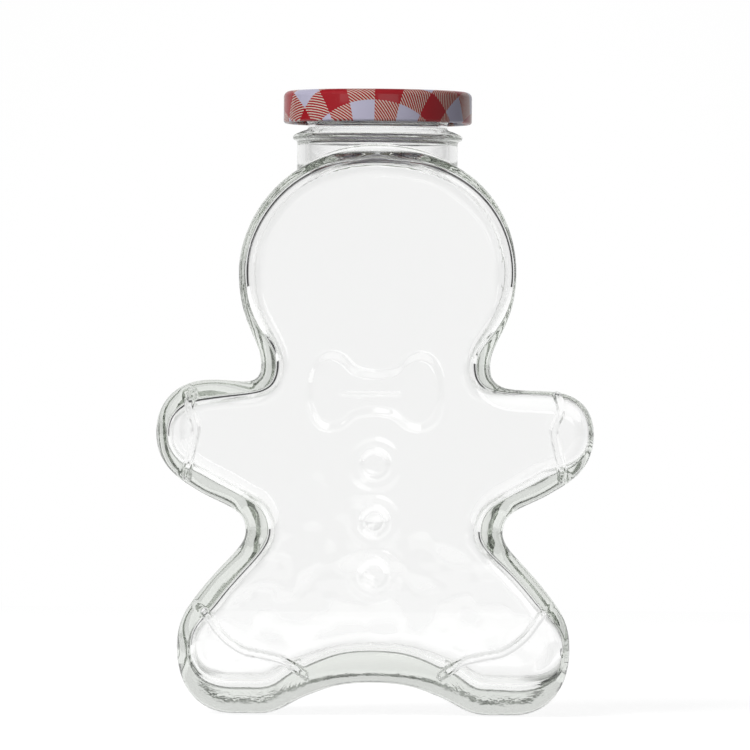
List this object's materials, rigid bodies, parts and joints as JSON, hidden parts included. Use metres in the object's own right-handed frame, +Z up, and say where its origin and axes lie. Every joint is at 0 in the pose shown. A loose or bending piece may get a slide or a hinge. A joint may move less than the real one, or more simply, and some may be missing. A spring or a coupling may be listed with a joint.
{
  "type": "gingerbread man jar",
  "caption": "Clear glass food jar shaped as a gingerbread man, with a bow tie and buttons in relief and a twist-off gingham tinplate lid.",
  "frame": {"origin": "on the surface that the jar stands on, midway between the feet and midway through the depth, under the neck's axis", "axes": "+Z up along the neck's axis, the figure faces -Y, +X to the right as seen from the front"},
  "size_m": [0.1296, 0.0579, 0.1852],
  "materials": {
    "clear_glass": "polished",
    "printed_tinplate": "gloss",
    "sealing_compound": "satin"
  },
  "bodies": {
    "jar": {"glass_jar": "clear_glass"},
    "seal": {"sealing_ring": "sealing_compound"},
    "lid": {"lid": "printed_tinplate"}
  },
  "joints": [
    {"name": "lid_lift", "type": "slide", "parent": "jar", "child": "seal", "axis": [0, 0, 1], "range_m": [0, 0.06]},
    {"name": "lid_turn", "type": "hinge", "parent": "seal", "child": "lid", "pos_m": [0, 0, 0.1804], "axis": [0, 0, 1], "range_deg": [0, 66]}
  ]
}
